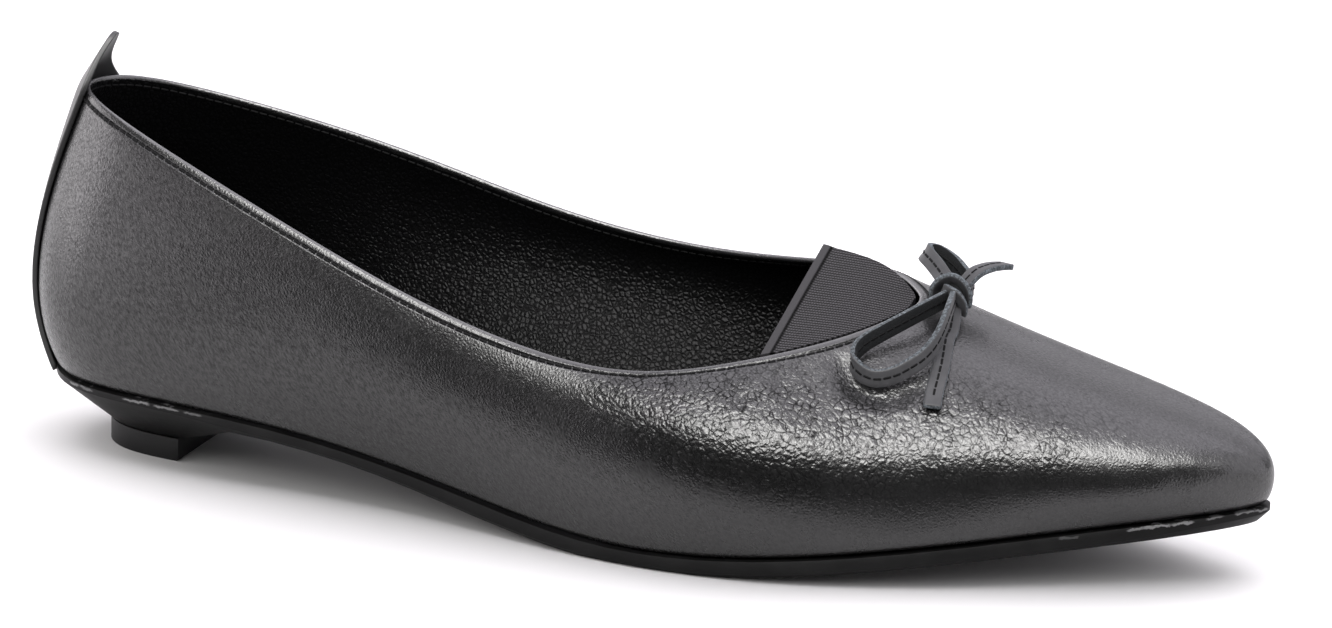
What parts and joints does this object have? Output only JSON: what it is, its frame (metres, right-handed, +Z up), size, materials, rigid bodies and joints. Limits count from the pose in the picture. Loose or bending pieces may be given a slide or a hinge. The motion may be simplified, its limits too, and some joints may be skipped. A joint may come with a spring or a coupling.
{
  "type": "ballet flat",
  "caption": "Low pointed-toe ballet flat for the right foot with an open collar, elastic throat gore, small lace bow, heel pull tab and a low inset block heel.",
  "frame": {"origin": "middle of the whole shoe's plan, on the floor", "axes": "+X from heel to toe, +Y towards the inner side of the foot, +Z up"},
  "size_m": [0.2572, 0.0832, 0.0825],
  "materials": {
    "upper_leather": "black grained leather, satin",
    "insole_leather": "black smooth lining leather",
    "sole_rubber": "black, half matt",
    "heel_rubber": "black, matt",
    "strip_leather": "black leather, satin",
    "elastic_weave": "black woven elastic",
    "lace_leather": "black lace with blue-grey cut edges"
  },
  "bodies": {
    "root": {"upper": "upper_leather", "insole": "insole_leather", "outsole": "sole_rubber", "heel_block": "heel_rubber", "back_strip": "strip_leather", "throat_elastic": "elastic_weave", "bow_knot": "lace_leather", "bow_loop_outer": "lace_leather", "bow_loop_inner": "lace_leather", "bow_tail_outer": "lace_leather", "bow_tail_inner": "lace_leather"}
  },
  "joints": []
}
